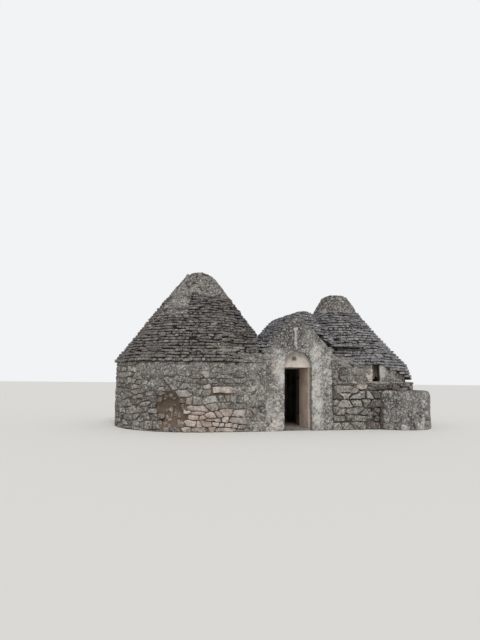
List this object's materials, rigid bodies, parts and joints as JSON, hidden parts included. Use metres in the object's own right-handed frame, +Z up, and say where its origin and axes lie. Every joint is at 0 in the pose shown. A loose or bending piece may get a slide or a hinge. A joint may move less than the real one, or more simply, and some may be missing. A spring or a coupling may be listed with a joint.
{
  "type": "trullo house",
  "caption": "Dry-stone trullo house: round rooms under corbelled slab cones, a low round annex and a plastered gabled porch whose arched doorway has a hinged board door.",
  "frame": {"origin": "on the ground midway between the axes of the two cones, on the underside of the hall floor", "axes": "+X to the right seen from the front, along the line of the two cones; +Y from the doorway to the back; +Z up"},
  "size_m": [10.6798, 5.9285, 5.2],
  "materials": {
    "limewash": "matte, chalky and weathered",
    "rubble_stone": "rough, weathered and lichened",
    "roof_slabs": "rough split slabs, weathered grey",
    "lime_mortar": "rough and matte",
    "cut_stone": "tooled, matte",
    "inner_stone": "rough and matte",
    "door_wood": "old, weathered",
    "grey_wood": "bare, silvered",
    "iron": "rusted"
  },
  "bodies": {
    "house": {"left_front_wall": "rubble_stone", "left_quarter_wall": "rubble_stone", "left_side_wall": "rubble_stone", "left_back_quarter_wall": "rubble_stone", "left_back_wall": "rubble_stone", "back_wall": "rubble_stone", "right_back_wall": "rubble_stone", "right_back_quarter_wall": "rubble_stone", "right_side_wall": "rubble_stone", "right_quarter_wall": "rubble_stone", "right_front_wall": "rubble_stone", "right_upper_wall": "lime_mortar", "right_window_wall": "lime_mortar", "room_piers": "inner_stone", "porch_left_pier": "limewash", "porch_right_pier": "limewash", "door_jambs": "cut_stone", "door_lintel": "cut_stone", "arch_stone": "cut_stone", "arch_boss": "cut_stone", "gable_wall": "limewash", "gable_stem": "limewash", "threshold": "cut_stone", "floor_slabs": "inner_stone", "hall_ceiling": "inner_stone", "left_vault": "inner_stone", "right_vault": "inner_stone", "closing_slabs": "inner_stone", "left_roof_lower": "roof_slabs", "left_roof_middle": "roof_slabs", "left_roof_upper": "roof_slabs", "left_cap": "lime_mortar", "right_roof_lower": "roof_slabs", "right_roof_middle": "roof_slabs", "right_roof_upper": "roof_slabs", "right_cap": "lime_mortar", "hall_roof": "roof_slabs", "corner_slopes": "roof_slabs", "annex": "rubble_stone", "window_sill": "rubble_stone", "window_shutter": "grey_wood", "hinge_pins": "iron"},
    "door": {"door_boards": "door_wood", "door_battens": "door_wood", "door_straps": "iron"}
  },
  "joints": [
    {"name": "door_hinge", "type": "hinge", "parent": "house", "child": "door", "pos_m": [0.4683, -1.763, 0.42], "axis": [0, 0, 1], "range_deg": [-12, 103]}
  ]
}
